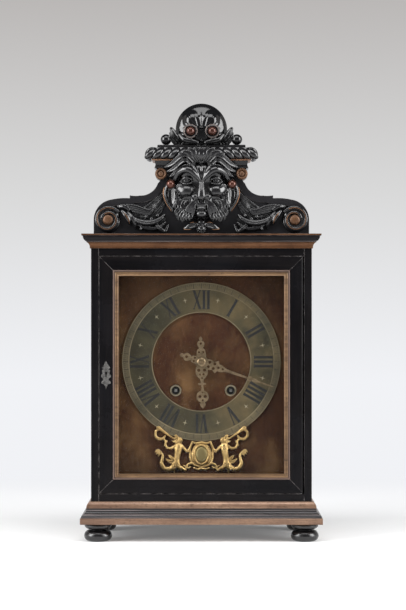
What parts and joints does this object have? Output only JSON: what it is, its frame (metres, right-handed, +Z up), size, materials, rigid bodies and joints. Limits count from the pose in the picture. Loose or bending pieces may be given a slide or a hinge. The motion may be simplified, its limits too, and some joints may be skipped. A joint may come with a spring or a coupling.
{
  "type": "table clock",
  "caption": "Ebonised religieuse table clock: glazed door, velvet dial with Roman chapter ring, pierced hands, gilt mount, carved mask crest, bun feet, two-train movement, rear door.",
  "frame": {"origin": "on the floor, under the middle of the clock's bounding box", "axes": "+Z up, the front faces -Y, +X to the right seen from the front"},
  "size_m": [0.302, 0.143, 0.5502],
  "materials": {
    "ebonised_wood": "satin",
    "copper_gilt_wood": "satin",
    "patinated_brass": "satin",
    "brass": "satin",
    "bell_bronze": "polished",
    "steel": "brushed",
    "iron": "satin",
    "glass": "polished",
    "velvet": "worn pile"
  },
  "bodies": {
    "case": {"foot_front_left": "ebonised_wood", "foot_front_right": "ebonised_wood", "foot_rear_left": "ebonised_wood", "foot_rear_right": "ebonised_wood", "plinth_moulding": "copper_gilt_wood", "base_panel": "ebonised_wood", "left_side": "ebonised_wood", "right_side": "ebonised_wood", "bottom_board": "ebonised_wood", "top_board": "ebonised_wood", "cornice_moulding": "copper_gilt_wood", "cornice_panel": "ebonised_wood", "door_pivot_pins": "steel", "dial_battens": "ebonised_wood", "dial_plate": "brass", "dial_velvet": "velvet", "chapter_ring": "patinated_brass", "winding_collets": "patinated_brass", "cartouche_mount": "brass", "movement_front_plate": "brass", "movement_back_plate": "brass", "bell": "bell_bronze", "bell_stand": "brass", "pendulum_cock": "brass", "crest_board": "ebonised_wood", "crest_cap": "ebonised_wood", "crest_mask": "ebonised_wood", "crest_scrolls": "ebonised_wood", "crest_rolls": "copper_gilt_wood", "finial_shell": "ebonised_wood"},
    "front_door": {"door_stile_left": "ebonised_wood", "door_stile_right": "ebonised_wood", "door_rail_top": "ebonised_wood", "door_rail_bottom": "ebonised_wood", "door_bead": "copper_gilt_wood", "door_glass": "glass", "escutcheon": "iron", "lock_case": "steel"},
    "lock_bolt": {"lock_bolt": "steel"},
    "rear_door": {"rear_door": "ebonised_wood"},
    "rear_latch": {"rear_latch": "steel"},
    "going_barrel": {"going_barrel": "brass"},
    "going_winder": {"going_winder": "steel"},
    "second_wheel": {"second_wheel": "brass"},
    "centre_wheel": {"centre_wheel": "brass", "minute_hand": "brass", "hand_collet": "brass"},
    "minute_wheel": {"minute_wheel": "brass"},
    "hour_wheel": {"hour_wheel": "brass", "hour_hand": "brass"},
    "third_wheel": {"third_wheel": "brass"},
    "escape_wheel": {"escape_wheel": "brass"},
    "pallets": {"pallets": "steel"},
    "pendulum": {"pendulum_rod": "steel", "pendulum_bob": "brass"},
    "strike_barrel": {"strike_barrel": "brass"},
    "strike_winder": {"strike_winder": "steel"},
    "pin_wheel": {"pin_wheel": "brass"},
    "fly": {"fly": "brass"},
    "hammer": {"hammer": "steel"}
  },
  "joints": [
    {"name": "front_door_hinge", "type": "hinge", "parent": "case", "child": "front_door", "pos_m": [0.1244, -0.055, 0.20825], "axis": [0, 0, 1], "range_deg": [0, 95]},
    {"name": "lock_bolt_slide", "type": "slide", "parent": "front_door", "child": "lock_bolt", "axis": [-1, 0, 0], "range_m": [0, 0.004]},
    {"name": "rear_door_hinge", "type": "hinge", "parent": "case", "child": "rear_door", "pos_m": [-0.1244, 0.065, 0.20825], "axis": [0, 0, 1], "range_deg": [0, 95]},
    {"name": "rear_latch_turn", "type": "hinge", "parent": "rear_door", "child": "rear_latch", "pos_m": [0.1194, 0.0685, 0.2], "axis": [0, 1, 0], "range_deg": [0, 90]},
    {"name": "going_barrel_turn", "type": "hinge", "parent": "case", "child": "going_barrel", "pos_m": [0.037, 0.0055, 0.1875], "axis": [0, 1, 0], "continuous": true},
    {"name": "going_winding_turn", "type": "hinge", "parent": "case", "child": "going_winder", "pos_m": [0.037, 0.0055, 0.1875], "axis": [0, 1, 0], "continuous": true},
    {"name": "second_wheel_turn", "type": "hinge", "parent": "case", "child": "second_wheel", "pos_m": [0.03515, 0.0055, 0.22271], "axis": [0, 1, 0], "continuous": true},
    {"name": "minute_hand_turn", "type": "hinge", "parent": "case", "child": "centre_wheel", "pos_m": [0, 0.0055, 0.224], "axis": [0, 1, 0], "continuous": true},
    {"name": "minute_wheel_turn", "type": "hinge", "parent": "case", "child": "minute_wheel", "pos_m": [0.01697, 0.0055, 0.24097], "axis": [0, 1, 0], "continuous": true},
    {"name": "hour_hand_turn", "type": "hinge", "parent": "case", "child": "hour_wheel", "pos_m": [0, 0.0055, 0.224], "axis": [0, 1, 0], "continuous": true},
    {"name": "third_wheel_turn", "type": "hinge", "parent": "case", "child": "third_wheel", "pos_m": [0, 0.0055, 0.2478], "axis": [0, 1, 0], "continuous": true},
    {"name": "escape_wheel_turn", "type": "hinge", "parent": "case", "child": "escape_wheel", "pos_m": [0, 0.0055, 0.2686], "axis": [0, 1, 0], "continuous": true},
    {"name": "pendulum_swing", "type": "hinge", "parent": "case", "child": "pendulum", "pos_m": [0, 0.0385, 0.2886], "axis": [0, 1, 0], "range_deg": [-3, 3]},
    {"name": "pallet_rock", "type": "hinge", "parent": "case", "child": "pallets", "pos_m": [0, 0.0055, 0.2886], "axis": [0, 1, 0], "range_deg": [-3, 3]},
    {"name": "strike_barrel_turn", "type": "hinge", "parent": "case", "child": "strike_barrel", "pos_m": [-0.0325, 0.0055, 0.1875], "axis": [0, 1, 0], "continuous": true},
    {"name": "strike_winding_turn", "type": "hinge", "parent": "case", "child": "strike_winder", "pos_m": [-0.0325, 0.0055, 0.1875], "axis": [0, 1, 0], "continuous": true},
    {"name": "pin_wheel_turn", "type": "hinge", "parent": "case", "child": "pin_wheel", "pos_m": [-0.03619, 0.0055, 0.22257], "axis": [0, 1, 0], "continuous": true},
    {"name": "fly_turn", "type": "hinge", "parent": "case", "child": "fly", "pos_m": [-0.03003, 0.0055, 0.24556], "axis": [0, 1, 0], "continuous": true},
    {"name": "hammer_lift", "type": "hinge", "parent": "case", "child": "hammer", "pos_m": [-0.055, 0.0055, 0.26], "axis": [0, 1, 0], "range_deg": [-10, 0]}
  ],
  "couplings": [
    {"joint": "going_barrel_turn", "follows": "minute_hand_turn", "ratio": 0.017361},
    {"joint": "second_wheel_turn", "follows": "minute_hand_turn", "ratio": -0.125},
    {"joint": "minute_wheel_turn", "follows": "minute_hand_turn", "ratio": -0.25},
    {"joint": "hour_hand_turn", "follows": "minute_hand_turn", "ratio": 0.083333},
    {"joint": "third_wheel_turn", "follows": "minute_hand_turn", "ratio": -7.5},
    {"joint": "escape_wheel_turn", "follows": "minute_hand_turn", "ratio": 52.5},
    {"joint": "pallet_rock", "follows": "pendulum_swing", "ratio": 1},
    {"joint": "pin_wheel_turn", "follows": "strike_barrel_turn", "ratio": -7.2},
    {"joint": "fly_turn", "follows": "strike_barrel_turn", "ratio": 54}
  ]
}
